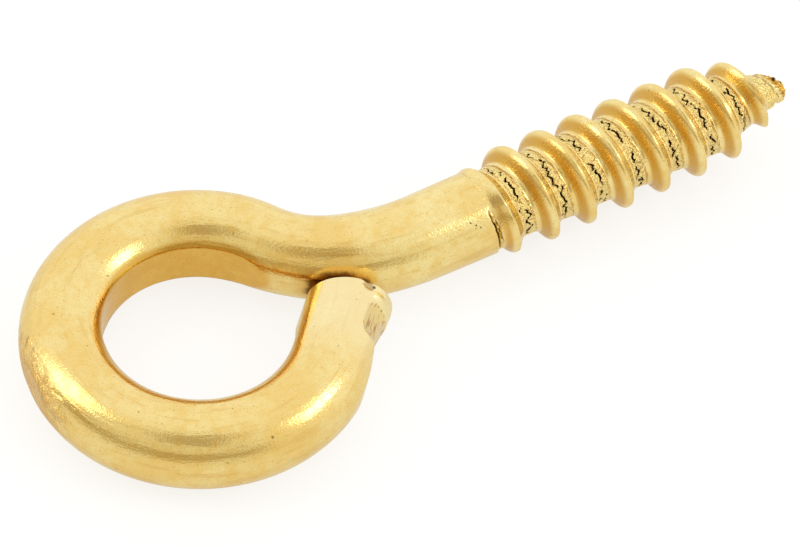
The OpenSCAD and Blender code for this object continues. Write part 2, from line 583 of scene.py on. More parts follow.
        # The pressed end has twice as many rows as the rest.
        for start, stop, fine in ((rim, end + 0 * turns, 2), (end + 0 * turns, total, 1)):
            count = int(fine * (stop[0] - start[0]) / self.row_len)
            rise = np.linspace(0, 1, count, endpoint=False)[:, None]
            stretch = start + (stop - start) * rise
            around = 0 * stretch + turns
            reach = self.press(stretch, around, self.radius(stretch))
            rows.append(stretch)
            reaches.append(self.clear_bore(stretch, around, reach))
        # The cap takes the shape of the pressed rim.
        cap = np.linspace(0, 1, self.cap_rows)[:-1, None] * reaches[0][0]
        rows.insert(0, self.dome(turns, cap))
        reaches.insert(0, cap)
        # The shank ends in a rounded shoulder and a face that closes to the middle.
        edge = self.radius(total)
        for angle in np.linspace(0, TURN / 4, self.shoulder_rows):
            rows.append((total - self.shoulder_r * (1 - math.sin(angle)))[None])
            reaches.append((edge - self.shoulder_r * (1 - math.cos(angle)))[None])
        for share in np.linspace(self.face_from, 0, self.face_rows):
            rows.append(share * total[None] + (1 - share) * total.min())
            reaches.append(share * (edge - self.shoulder_r)[None])
        along = np.concatenate(rows)
        points = np.stack([along, 0 * along + turns, np.concatenate(reaches)], axis=2)
        return new_mesh("wire_skin", points.reshape(-1, 3), grid_quads(*along.shape))

    def wrap_tree(self) -> bpy.types.NodeTree:
        """The node tree that wraps a flat-laid skin round the centre-line."""
        tree = new_geometry_tree(
            "wrap_round_wire",
            {"Path": "NodeSocketObject", "Weld": "NodeSocketFloat", "Brass": "NodeSocketMaterial"},
        )
        given = tree.nodes["Group Input"].outputs
        place = add_node(tree, "GeometryNodeInputPosition")
        laid = add_node(tree, "ShaderNodeSeparateXYZ", inputs={0: place}).outputs
        path = add_node(tree, "GeometryNodeObjectInfo", inputs={"Object": given["Path"]})
        spot = add_node(
            tree,
            "GeometryNodeSampleCurve",
            {"mode": "LENGTH", "use_all_curves": True},
            {"Curves": path.outputs["Geometry"], "Length": laid[0]},
        ).outputs
        known = {"along": laid[0], "around": laid[1], "reach": laid[2]}
        known.update({"spot": spot["Position"], "ahead": spot["Tangent"]})
        work_out(
            tree,
            known,
            (
                ("aside", Kind.CROSS, (0, 0, 1), "ahead"),
                ("out", "around", "cos", "*", "reach"),
                ("up", "around", "sin", "*", "reach"),
                ("outwards", Kind.SCALED, "aside", "out"),
                ("side", Kind.SHIFTED, "spot", "outwards"),
                ("upwards", Kind.POINT, 0.0, 0.0, "up"),
                ("place", Kind.SHIFTED, "side", "upwards"),
                # Distances along, out and up, for the patterns drawn into the wire.
                ("drawn", Kind.POINT, "along", "out", "up"),
            ),
        )
        noted = add_node(
            tree,
            "GeometryNodeStoreNamedAttribute",
            {"data_type": "FLOAT_VECTOR"},
            {"Geometry": given["Geometry"], "Name": DRAWN, "Value": known["drawn"]},
        )
        moved = {"Geometry": noted, "Position": known["place"]}
        finish_tree(tree, add_node(tree, "GeometryNodeSetPosition", inputs=moved))
        return tree

    def build(self, brass: bpy.types.Material) -> bpy.types.Mesh:
        """The closed skin of the bent wire, in millimetres."""
        path = show(self.path.curve())
        values = {"Path": path, "Weld": self.weld, "Brass": brass}
        mesh = shaped(self.skin(), self.wrap_tree(), values)
        bpy.data.objects.remove(path)
        return mesh


@dataclass(frozen=True)
class RolledLap:
    """The ragged crack that rolling leaves along the root of the thread."""

    pitch: float = 1.5
    root_r: float = 1.36
    start_x: float = 11.25
    end_x: float = 22.3
    crack_rows: ClassVar[Rows] = (
        ("channel turns", "turns", "floor", "+", "angle turns"),
        ("run", "channel turns", "*", "root girth"),
        ("between", "turns", "fract"),
        ("aside", "between", "-", 0.5, "*", "pitch"),
        # How the crack wanders, how ragged it is and where it gapes.
        ("wander", Kind.LINE_NOISE, "run", 0.8, 1.0),
        ("ragged", Kind.LINE_NOISE, "run", 3.6, 3.0),
        ("gape", Kind.LINE_NOISE, "run", 1.7, 2.0),
        ("frayed", "ragged", "*+", 0.42, -0.21),
        ("line", "run", "*+", 0.72, "wander", "fract", "*+", -0.2, 0.02, "+", "frayed"),
        ("gap", "aside", "-", "line", "abs"),
        ("depth", "gape", "*+", 0.26, -0.088, "min", 0.042, "-", "gap", "/", 0.02),
        ("not late", "x", "<", "end_x"),
        ("crack", "x", ">", "start_x", "min", "depth", "min", "not late", "max", 0.0),
        # The shank folds into the first flight along two short grooves.
        ("joined", Kind.FADE, "channel turns", -0.58, -0.33, 1.0, 0.0),
        ("fold from", Kind.FADE, "channel turns", -0.66, -0.59, 0.0, 1.0),
        ("fold till", Kind.FADE, "channel turns", -0.36, -0.28, 1.0, 0.0),
        ("second till", Kind.FADE, "channel turns", -0.52, -0.46, 1.0, 0.0),
        ("fold near", Kind.FADE, "x", 11.5, 11.7, 1.0, 0.0),
        ("fold aside", "ragged", "*+", 0.12, -0.06, "+", "aside"),
        ("first fold", "fold aside", "-", 0.14, "abs", "*+", -24.0, 1.0, "*", "fold till"),
        ("second fold", "fold aside", "-", 0.26, "abs", "*+", -30.0, 0.8, "*", "second till"),
        ("fold here", "first fold", "max", "second fold", "max", 0.0, "*", "fold from"),
        ("fold", "fold here", "*", "fold near"),
    )

    def add(self, tree: bpy.types.NodeTree, known: dict[str, Any]) -> None:
        """Adds the crack and the folds to a tree, as "crack" and "fold" from 0 to 1.

        Args:
            tree: The shader or geometry tree.
            known: Holds "x" in millimetres, "angle turns" round the axis and "turns"
                along the helix from the crest. The lap's sizes and what its rows name are
                added, such as the place in the channel: "run" along it and "aside"
                across it.
        """
        known.update(vars(self))
        known["root girth"] = TURN * self.root_r
        work_out(tree, known, self.crack_rows)


@dataclass(frozen=True)
class RolledThread:
    """The coarse wood thread that is rolled into the wire, with its torn point."""

    start_x: float = 10.9
    crest_x: float = 11.02
    tip_x: float = 23.45
    pitch: float = 1.5
    offset: float = 0.18
    crest_r: float = 1.87
    root_r: float = 1.33
    root_rise: float = 0.07
    stub_r: float = 0.55
    shank_r: float = 1.525
    # The shank's skin swells from this far past the first row.
    shank_run: float = 0.03
    seam: float = 304.8
    columns: int = 160
    turn_rows: int = 32
    cap_len: float = 0.75
    tear_lean: float = 38.0
    tear_turn: float = 35.0
    # The crests rise out of the shank over rise_len, steeply at first. The root narrows
    # from root_taper before the tip, and the crests fade from crest_taper before it.
    rise_len: float = 1.7
    rise_power: float = 0.45
    root_taper: float = 2.9
    taper_len: float = 2.5
    crest_taper: float = 3.15
    fade_power: float = 1.6
    fade_rate: float = 0.2
    # Points nearer to each other than this are welded.
    weld: float = 0.0003
    lap: RolledLap = field(default_factory=RolledLap)
    # Across a flight, from the eye's side to the point's side: distance and height.
    flight: Points = (
        (-0.75, 0.0), (-0.56, 0.01), (-0.42, 0.08), (-0.35, 0.22), (-0.25, 0.54), (-0.15, 0.83),
        (-0.09, 0.95), (-0.04, 0.995), (0.02, 1.0), (0.045, 0.985), (0.065, 0.945), (0.085, 0.97),
        (0.12, 0.89), (0.30, 0.36), (0.42, 0.12), (0.60, 0.0), (0.75, 0.0),
    )
    # Where each point of the grid lies along the thread and round it.
    place_rows: ClassVar[Rows] = (
        ("turn", "index", "mod", "row points", "/", "columns"),
        ("angle", "turn", "*+", TURN, "seam"),
        # Rows crowd together at the crests and in the middle of the root.
        ("even", "index", "/", "row points", "floor", "/", "turn_rows"),
        ("climbed", "even", "*", 2 * TURN, "sin", "*+", -0.03, "even", "+", "turn"),
        ("station", "climbed", "*+", "Pitch", "first x"),
        # The torn face leans back on one side.
        ("tear depth", "angle", "-", "tear turn", "cos", "max", 0.0, "*", "tear drop"),
        # Beyond either end the skin closes in to the middle.
        ("short", "Start X", "-", "station"),
        ("closing", "Tip X", "-", "tear depth", "from", "station", "max", "short", "max", 0.0),
        ("open", "closing", "/", "cap drop", "+", 1.0),
        ("spread", "open", ">", 0.05, "*", "open"),
        ("x", "tear depth", "*", "spread", "from", "Tip X", "min", "station", "max", "Start X"),
        # Turns along the helix, and the distance across it.
        ("angle turns", "angle", "/", TURN),
        ("turns", "x", "-", "Crest X", "/", "Pitch", "-", "angle turns"),
        ("cosine", "angle", "cos"),
        ("sine", "angle", "sin"),
        ("across", "turns", "round", "from", "turns"),
        ("profile at", "across", "+", 0.5),
    )
    # How far out it lies, once the flight's height is known.
    radius_rows: ClassVar[Rows] = (
        # Where the last flight dies away, and how ragged the torn point is.
        ("flight left", Kind.FADE, "x", 22.35, 22.95, 1.0, 0.0),
        ("torn", Kind.FADE, "x", 22.3, 23.1, 0.0, 0.32),
        ("round it", Kind.POINT, "x", "cosine", "sine"),
        ("ragged skin", Kind.NOISE, "round it", 3.2, 2.0),
        ("between", "turns", "fract"),
        ("root lift", "between", "*+", "root_rise", "Root Radius"),
        ("tapering", "Tip X", "-", "root_taper", "from", "x", "/", "taper_len"),
        ("tapered", "tapering", "max", 0.0, "min", 1.0),
        ("root", "Stub Radius", "-", "root lift", "*+", "tapered", "root lift"),
        ("rise", "x", "-", "Start X", "/", "rise_len", "min", 1.0, "^", "rise_power"),
        ("risen", "Crest Radius", "-", "Root Radius", "*+", "rise", "Root Radius"),
        ("fading", "Tip X", "-", "crest_taper", "from", "x", "max", 0.0),
        ("fade", "fading", "^", "fade_power", "*", "fade_rate"),
        # The shank runs into the first flight, until a groove opens between them.
        ("on flight", "x", "-", "shank till", "max", 0.0),
        ("over", "on flight", "*", "on flight", "*+", 0.25, "shank_r", "-", "root", "max", 0.0),
        ("floor", "over", "*+", "joined", "root"),
        # Towards the point the crest narrows to an edge.
        ("edge drop", "across", "abs", "*", "tapered"),
        ("edged", "risen", "-", "fade", "max", "floor", "-", "floor", "+*", "edge drop", -1.6),
        ("formed", "edged", "max", 0.0, "*", "flight left", "*+", "profile", "floor"),
        # The root is a little ragged, and the torn point much more so.
        ("free", 1.0, "-", "joined"),
        ("rag depth", 1.0, "-", "profile", "*", "free", "*+", 0.06, "torn"),
        ("rag", "ragged skin", "-", 0.5),
        ("skin", "fold", "*+", -0.12, "formed", "+*", "rag", "rag depth", "+*", "crack", -0.05),
        ("radius", "skin", "*", "spread"),
        ("y", "radius", "*+", "cosine", "offset"),
        ("z", "radius", "*", "sine"),
        ("place", Kind.POINT, "x", "y", "z"),
    )

    @property
    def first_x(self) -> float:
        """Where the first row starts: on a crest, far enough back to close the skin."""
        on_crest = self.crest_x + self.pitch * self.seam / 360
        room = on_crest - (self.start_x - self.cap_len - self.pitch)
        return on_crest - math.ceil(room / self.pitch) * self.pitch

    @property
    def rows(self) -> int:
        """Rows of points, from the first to where the skin is closed past the tip."""
        turns = (self.tip_x + self.cap_len - self.first_x) / self.pitch
        return math.ceil(turns * self.turn_rows) + 1

    @property
    def sizes(self) -> dict[str, float]:
        """The sizes that the node tree takes, by the names of its inputs."""
        return {
            "Start X": self.start_x,
            "Crest X": self.crest_x,
            "Tip X": self.tip_x,
            "Pitch": self.pitch,
            "Crest Radius": self.crest_r,
            "Root Radius": self.root_r,
            "Stub Radius": self.stub_r,
            "Weld": self.weld,
        }

    def tree(self) -> bpy.types.NodeTree:
        """The node tree that rolls a grid of points into the threaded skin."""
        kinds = {name: "NodeSocketFloat" for name in self.sizes}
        tree = new_geometry_tree("roll_thread", {**kinds, "Brass": "NodeSocketMaterial"})
        given = tree.nodes["Group Input"].outputs
        known = {**vars(self), **{name: given[name] for name in self.sizes}}
        known |= {
            "index": add_node(tree, "GeometryNodeInputIndex"),
            "row points": self.columns + 1,
            "seam": math.radians(self.seam),
            "first x": self.first_x,
            "tear turn": math.radians(self.tear_turn),
            "tear drop": math.tan(math.radians(self.tear_lean)) * self.stub_r,
            "cap drop": -self.cap_len,
            "shank till": self.start_x + self.shank_run,
        }
        work_out(tree, known, self.place_rows)
        self.lap.add(tree, known)
        flight = add_node(tree, "ShaderNodeFloatCurve", inputs={"Value": known["profile at"]})
        spots = tuple((distance / self.pitch + 0.5, height) for distance, height in self.flight)
        set_curve(flight, spots, "AUTO_CLAMPED")
        known["profile"] = flight
        work_out(tree, known, self.radius_rows)
        counts = {"Vertices X": self.rows, "Vertices Y": self.columns + 1}
        grid = add_node(tree, "GeometryNodeMeshGrid", inputs=counts)
        rolled = {"Geometry": grid.outputs["Mesh"], "Position": known["place"]}
        skin = add_node(tree, "GeometryNodeSetPosition", inputs=rolled)
        # The grid's faces point inwards once it is rolled.
        finish_tree(tree, add_node(tree, "GeometryNodeFlipFaces", inputs={0: skin}))
        return tree

    def build(self, brass: bpy.types.Material) -> bpy.types.Mesh:
        """The closed skin of the thread, in millimetres."""
        values = {**self.sizes, "Brass": brass}
        return shaped(bpy.data.meshes.new("thread"), self.tree(), values)


@dataclass(frozen=True)
class Brass:
    """Drawn and rolled brass wire, bright but not polished."""

    bright: str = "#FBE8A5"
    # What covers the bright brass, from the lowest to the topmost, and its colour. Some are
    # painted shade or sheen, as marked.
    tints: tuple[tuple[str, str], ...] = (
        # Painted shade on the bore's wall, fading out towards the sheared end.
        ("bore shade", "#DEA63E"),
        ("patchy", "#F0C76A"),
        ("handled", "#F0C76A"),
        ("blotchy", "#F0C76A"),
        ("grained", "#EFC86C"),
        ("dusty", "#B98A40"),
        ("drawn lines", "#D8AE58"),
        # Painted sheen: paler towards the sheared end.
        ("end sheen", "#FFF3C6"),
        ("scuffed", "#E6B96E"),
        # Painted shade along the crease above the bore, on the half away from the camera.
        ("bore crease shade", "#DDB050"),
        ("rough root", "#FFE79A"),
        # Painted shade on the flank of each flight that faces the eye.
        ("shaded flank", "#DBAC52"),
        ("flawed", "#8A5218"),
        ("pinched", "#F2D898"),
        ("scored", "#A47A44"),
        # Painted shade in the chip in the rim, darkest along its edge.
        ("chipped", "#A47A44"),
        ("chip edge shade", "#34180A"),
        # Painted shade in the narrow gap where the sheared end nearly meets the neck.
        ("gap shade", "#DCAE58"),
        ("gap deep shade", "#5A2E0C"),
        # Painted shade in the crack and the folds, and dark pits.
        ("crack shade and pits", "#34180A"),
    )
    # The smoothest brass, and how much rougher blotches and wear make it.
    smoothest: float = 0.09
    blotch_rough: float = 0.16
    worn_rough: float = 0.14
    crest_x: float = 11.02
    offset: float = 0.18
    # The middle of the sheared end's dome, and unit vectors along the straight end and
    # out of the forming tool's flat.
    dome: tuple[float, float, float] = (3.713, -3.350, 0.0)
    wire_end: tuple[float, float, float] = (0.6845, 0.7290, 0.0)
    tool_flat: tuple[float, float, float] = (-0.9903, 0.1392, 0.0)
    # In the rim of the sheared end: along the wire, outwards and up.
    chip: tuple[float, float, float] = (0.44, 0.70, 1.27)
    chip_edge: tuple[float, float, float] = (0.38, 0.86, 1.16)
    # Small flaws: where they lie, how far they reach, how much they cover and their
    # colour. Their edges are ragged by a tenth of a millimetre.
    flaws: tuple[tuple[tuple[float, float, float], float, float, str], ...] = (
        ((21.00, -0.07, 1.17), 0.07, 0.9, "#2A1004"),
        ((21.35, -0.74, 0.33), 0.16, 0.95, "#1E0C02"),
        ((21.58, -0.81, 0.10), 0.24, 0.9, "#F4DC9C"),
        ((23.16, 0.09, 0.54), 0.10, 0.95, "#1E0C02"),
        ((23.38, -0.10, 0.47), 0.06, 0.9, "#3A1A08"),
        ((22.86, 0.50, 0.45), 0.05, 0.8, "#4A2A10"),
        ((11.36, -1.43, 0.68), 0.14, 0.5, "#B08048"),
        ((11.36, -1.54, 0.36), 0.17, 0.6, "#B08048"),
        ((11.37, -0.70, 1.40), 0.26, 0.3, "#C8A468"),
        ((11.81, -0.56, 1.50), 0.22, 0.3, "#C8A468"),
        ((10.20, -0.87, 1.11), 0.04, 0.8, "#5A3A14"),
        ((10.35, -0.97, 1.01), 0.05, 0.8, "#5A3A14"),
        ((10.50, -1.06, 0.90), 0.04, 0.8, "#5A3A14"),
        ((12.39, -1.17, -0.20), 0.10, 0.9, "#2A1004"),
        ((15.31, -1.17, -0.20), 0.08, 0.9, "#2A1004"),
        ((16.93, -1.18, -0.08), 0.09, 0.9, "#2A1004"),
        ((13.76, -1.18, -0.11), 0.07, 0.9, "#2A1004"),
    )
    flaw_rag: float = 0.1
    lap: RolledLap = field(default_factory=RolledLap)
    # Where a point lies, from the thread's axis and the eye's.
    place_rows: ClassVar[Rows] = (
        ("sideways", "y", "-", "offset"),
        ("angle turns", "z", "atan2", "sideways", "/", TURN),
        ("turns", "x", "-", "crest_x", "/", "pitch", "-", "angle turns"),
        ("y square", "y", "*", "y"),
        ("bore r", "x", "*", "x", "+", "y square", "sqrt"),
    )
    finish_rows: ClassVar[Rows] = (
        ("along wire", Kind.STRETCHED, "drawn", (0.12, 1.0, 1.0)),
        ("dome r", Kind.DISTANCE, "local", "dome"),
        ("end ahead", Kind.TOWARDS, "local", "wire_end"),
        ("flat out", Kind.TOWARDS, "local", "tool_flat"),
        ("chip r", Kind.DISTANCE, "drawn", "chip"),
        ("chip edge r", Kind.DISTANCE, "drawn", "chip_edge"),
        # Patterns by their scale per millimetre. Handling leaves patches of one to two
        # millimetres and blotches of a third of one. The metal's own grain is finer
        # than this grain, which is drawn coarse enough to show.
        ("mottle", Kind.NOISE, "local", 0.6, 3.0),
        ("blotch", Kind.NOISE, "local", 2.8, 4.0),
        ("grain", Kind.NOISE, "local", 13.0, 2.0),
        ("pits", Kind.NOISE, "local", 7.0, 2.0),
        ("dust", Kind.NOISE, "local", 15.0, 1.0),
        ("lines", Kind.NOISE, "along wire", 5.0, 3.0),
        ("scores", Kind.NOISE, "along wire", 11.0, 1.0),
        # Rolling leaves the root in flakes about a third of a millimetre across.
        ("flake edge", Kind.FLAKES, "local", 3.0),
        ("flake by", "grain", "*+", 0.3, "flake edge"),
        ("gap r", "blotch", "*+", 0.24, "dome r"),
        ("flat by", "blotch", "*+", 0.9, "flat out"),
        ("depth out", "z", "abs"),
        ("skin r", "left", "*", "left", "+*", "up", "up", "sqrt"),
        # Where each finish, painted shade or sheen shows: by a source's value, from one share to
        # another.
        ("patchy", Kind.FADE, "mottle", 0.40, 0.64, 0.0, 0.45),
        ("blotchy", Kind.FADE, "blotch", 0.42, 0.70, 0.0, 0.42),
        ("grained", Kind.FADE, "grain", 0.46, 0.68, 0.0, 0.32),
        ("dusty", Kind.FADE, "dust", 0.64, 0.74, 0.0, 0.35),
        ("lined", Kind.FADE, "lines", 0.54, 0.70, 0.0, 0.28),
        ("pitted", Kind.FADE, "pits", 0.72, 0.78, 0.0, 0.6),
        ("scuffed", Kind.FADE, "flat by", 5.95, 6.6, 0.0, 0.8),
        ("flaked", Kind.FADE, "flake by", 0.13, 0.20, 1.0, 0.0),
        ("flaked here", Kind.FADE, "blotch", 0.48, 0.56, 0.0, 0.5),
        ("upper", Kind.FADE, "y", -0.5, 0.6, 0.0, 1.0),
        ("root low", Kind.FADE, "aside", -0.36, -0.28, 0.0, 1.0),
        ("root high", Kind.FADE, "aside", 0.10, 0.24, 1.0, 0.0),
        # The flank of each flight that faces the eye, where shade is painted.
        ("flank low", Kind.FADE, "aside", 0.30, 0.40, 0.0, 1.0),
        ("flank high", Kind.FADE, "aside", 0.50, 0.65, 1.0, 0.0),
        # Painted sheen, paler towards the sheared end.
        ("near end", Kind.FADE, "along", 1.8, 4.6, 0.5, 0.0),
        ("on wire", Kind.FADE, "skin r", 0.2, 0.6, 0.0, 1.0),
        ("thread from", Kind.FADE, "x", 11.0, 11.6, 0.0, 1.0),
        ("wire till", Kind.FADE, "x", 10.9, 11.3, 1.0, 0.0),
        ("bore side", Kind.FADE, "bore r", 3.31, 3.54, 0.9, 0.0),
        ("round eye", Kind.FADE, "along", 2.4, 5.2, 0.1, 1.0),
        ("handled", Kind.FADE, "bore r", 5.9, 6.6, 0.22, 0.0),
        ("edge in", Kind.FADE, "depth out", 0.68, 0.76, 0.0, 0.7),
        ("edge out", Kind.FADE, "bore r", 3.38, 3.50, 1.0, 0.0),
        ("beyond end", Kind.FADE, "end ahead", 2.45, 2.7, 0.0, 1.0),
        ("off rim", Kind.FADE, "dome r", 3.06, 3.14, 0.0, 1.0),
        ("pressed in", Kind.FADE, "skin r", 1.41, 1.45, 1.0, 0.0),
        ("pinch from", Kind.FADE, "along", 0.82, 0.95, 0.0, 1.0),
        ("pinch till", Kind.FADE, "along", 1.9, 2.5, 1.0, 0.0),
        ("score", Kind.FADE, "scores", 0.54, 0.64, 0.0, 0.7),
        # Painted shade in the chip in the rim, darkest along its edge.
        ("chipped", Kind.FADE, "chip r", 0.18, 0.25, 0.6, 0.0),
        ("chip edge shade", Kind.FADE, "chip edge r", 0.05, 0.10, 0.9, 0.0),
        # Painted shade on the neck in the narrow gap by the sheared end, darkest where they nearly
        # touch.
        ("close", Kind.FADE, "gap r", 3.62, 3.98, 0.6, 0.0),
        ("closest", Kind.FADE, "gap r", 3.54, 3.70, 0.9, 0.0),
        # What shows together.
        ("rough root", "root low", "*", "root high", "*", "thread from"),
        ("shaded flank", "flank low", "*", "flank high", "*", "thread from"),
        ("drawn lines", "lined", "*", "wire till"),
        # Painted shade on the bore's wall, less of it near the sheared end.
        ("bore shade", "bore side", "*", "round eye"),
        # Painted shade along the crease above the bore, on the half away from the camera.
        ("bore crease shade", "edge in", "*", "edge out", "*", "upper"),
        ("flawed", "flaked", "*", "flaked here", "*", "rough root"),
        ("pinched", "pinch from", "*", "pinch till", "*", "pressed in"),
        ("scored", "pinched", "*", "score"),
        # The painted gap shade shows only on the neck, past the end's rim.
        ("on neck", "beyond end", "*", "off rim"),
        ("gap shade", "close", "*", "on neck"),
        ("gap deep shade", "closest", "*", "on neck"),
        ("end sheen", "near end", "*", "on wire"),
        # The roughness and the relief.
        ("worn", "shaded flank", "*", 0.2, "max", "rough root", "max", "scuffed"),
        ("rough", "blotch", "*+", "blotch_rough", "smoothest", "+*", "worn", "worn_rough"),
        ("lines high", "worn", "*+", 4.0, 0.35, "*", "grain", "+*", "lines", 0.7),
        ("pits low", "flawed", "*+", -1.5, "lines high", "+*", "pitted", -0.8),
        ("flakes high", "flake edge", "*", "rough root", "*+", 3.0, "pits low"),
        ("relief", "blotch", "*", "scuffed", "*+", 6.0, "flakes high", "+*", "crack", -4.0),
        # Painted shade in the crack and the folds, and dark pits.
        ("crack shade and pits", "crack", "max", "fold", "max", "pitted"),
    )

    def place(self, tree: bpy.types.NodeTree) -> dict[str, Any]:
        """Adds where a point lies, in millimetres, along the thread and on the wire.

        Args:
            tree: The material's tree.

        Returns:
            The nodes, sockets and numbers by name.
        """
        local = add_node(tree, "ShaderNodeTexCoord").outputs["Object"]
        drawn = add_node(tree, "ShaderNodeAttribute", {"attribute_name": DRAWN})
        known = {
            **vars(self),
            "pitch": self.lap.pitch,
            "metres": local,
            "drawn": drawn.outputs["Vector"],
        }
        work_out(tree, known, (("local", Kind.SCALED, "metres", 1 / MM),))
        for names, source in ((("x", "y", "z"), "local"), (("along", "left", "up"), "drawn")):
            parts = add_node(tree, "ShaderNodeSeparateXYZ", inputs={0: known[source]})
            known.update(zip(names, parts.outputs))
        work_out(tree, known, self.place_rows)
        self.lap.add(tree, known)
        return known

    def material(self) -> bpy.types.Material:
        """The brass, as a material."""
        # Bare brass wire: pale yellow and mirror-bright where the die and the rolls left it
        # smooth, ochre and duller where it is scuffed, flaked or handled. Shade is painted into
        # the bore, along its crease, on the flanks that face the eye, in the crack, the folds and
        # the chip, and in the gap by the neck; a sheen near the end.
        made = bpy.data.materials.new("drawn_brass")
        made.use_nodes = True
        tree = made.node_tree
        known = self.place(tree)
        work_out(tree, known, self.finish_rows)
        known["tint"] = linear(self.bright)
        for share, colour in self.tints:
            work_out(tree, known, (("tint", Kind.TINT, share, "tint", linear(colour)),))
        for place, reach, share, colour in self.flaws:
            middle = self.flaw_rag / 2
            start, end = middle + 0.7 * reach, middle + 1.1 * reach
            work_out(
                tree,
                known,
                (
                    ("away", Kind.DISTANCE, "local", place),
                    ("ragged away", "grain", "*+", self.flaw_rag, "away"),
                    ("cover", Kind.FADE, "ragged away", start, end, share, 0.0),
                    ("tint", Kind.TINT, "cover", "tint", linear(colour)),
                ),
            )
        relief = {"Height": known["relief"], "Distance": 0.02 * MM, "Strength": 1.0}
        bump = add_node(tree, "ShaderNodeBump", inputs=relief)
        surface = tree.nodes["Principled BSDF"].inputs
        surface["Metallic"].default_value = 1.0
        tree.links.new(known["tint"], surface["Base Color"])
        tree.links.new(known["rough"], surface["Roughness"])
        tree.links.new(bump.outputs[0], surface["Normal"])
        return made


@dataclass(frozen=True)
class ScrewEye:
    """The whole screw eye: one bent and rolled length of wire."""

    wire: BentWire = field(default_factory=BentWire)
    thread: RolledThread = field(default_factory=RolledThread)
    finish: Brass = field(default_factory=Brass)
    # Edges sharper than this stay crisp, in degrees.
    crease_angle: float = 32.0

    def build(self) -> bpy.types.Object:
        """Joins the thread to the wire as one closed skin, in metres.

        Returns:
            The finished piece, riding on the part's body.
        """
        brass = self.finish.material()
        piece = show(bpy.data.objects.new("wire", self.wire.build(brass)))
        thread = show(bpy.data.objects.new("thread", self.thread.build(brass)))
        join = piece.modifiers.new("join", "BOOLEAN")
        join.operation = "UNION"
        join.solver = "MANIFOLD"
        join.object = thread
        mesh = baked(piece)
        bpy.data.objects.remove(thread)
        mesh.transform(Matrix.Scale(MM, 4))
        mesh.set_sharp_from_angle(angle=math.radians(self.crease_angle))
        done = show(bpy.data.objects.new("screw_eye_brass", mesh))
        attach(done, BODY)
        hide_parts(NODE)
        return done


@dataclass(frozen=True)
class View:
    """The camera: a long lens that looks down past the neck of the screw eye."""

    azimuth: float = 33.194
    elevation: float = 50.334
    roll: float = 3.473
    distance: float = 220.499
    shift: tuple[float, float] = (-6.834, -2.168)
    # The distance to the picture plane, in picture widths of 800.
    focal: float = 6503.353

    def build(self) -> bpy.types.Object:
        """The camera, set as the scene's own."""
        turn, rise, lean = (math.radians(a) for a in (self.azimuth, self.elevation, self.roll))
        back = Vector(
            (-math.sin(turn) * math.cos(rise), -math.cos(turn) * math.cos(rise), math.sin(rise))
        )
        level = Vector((math.cos(turn), -math.sin(turn), 0))
        over = back.cross(level)
        right = math.cos(lean) * level + math.sin(lean) * over
        up = math.cos(lean) * over - math.sin(lean) * level
        data = bpy.data.cameras.new("camera")
        data.lens = self.focal * SENSOR_WIDTH / FRAME_WIDTH
        data.sensor_width = SENSOR_WIDTH
        data.clip_start = 0.01
        camera = show(bpy.data.objects.new("camera", data))
        place = self.distance * back - self.shift[0] * right - self.shift[1] * up
        turned = Matrix((right, up, back)).transposed().to_4x4()
        camera.matrix_world = Matrix.Translation(place * MM) @ turned
        bpy.context.scene.camera = camera
        return camera


@dataclass(frozen=True)
class Softbox:
    """A square or oblong soft lamp, which faces the screw eye."""

    name: str
    azimuth: float
    elevation: float
    wide: float
    high: float
    level: float
    colour: str = "#FFFFFF"
    distance: float = 0.3

    def build(self) -> bpy.types.Object:
        """The lamp, with the power that gives its face that level."""
        width, height = (
            2 * self.distance * math.tan(math.radians(a / 2)) for a in (self.wide, self.high)
        )
        data = bpy.data.lights.new(self.name, "AREA")
        data.shape = "RECTANGLE"
        data.size, data.size_y = width, height
        data.energy = self.level * math.pi * width * height
        data.color = linear(self.colour)[:3]
        lamp = show(bpy.data.objects.new(self.name, data))
        turn, rise = math.radians(self.azimuth), math.radians(self.elevation)
        towards = Vector(
            (math.cos(turn) * math.cos(rise), math.sin(turn) * math.cos(rise), math.sin(rise))
        )
        lamp.location = towards * self.distance
        lamp.rotation_euler = towards.to_track_quat("Z", "Y").to_euler()
        return lamp


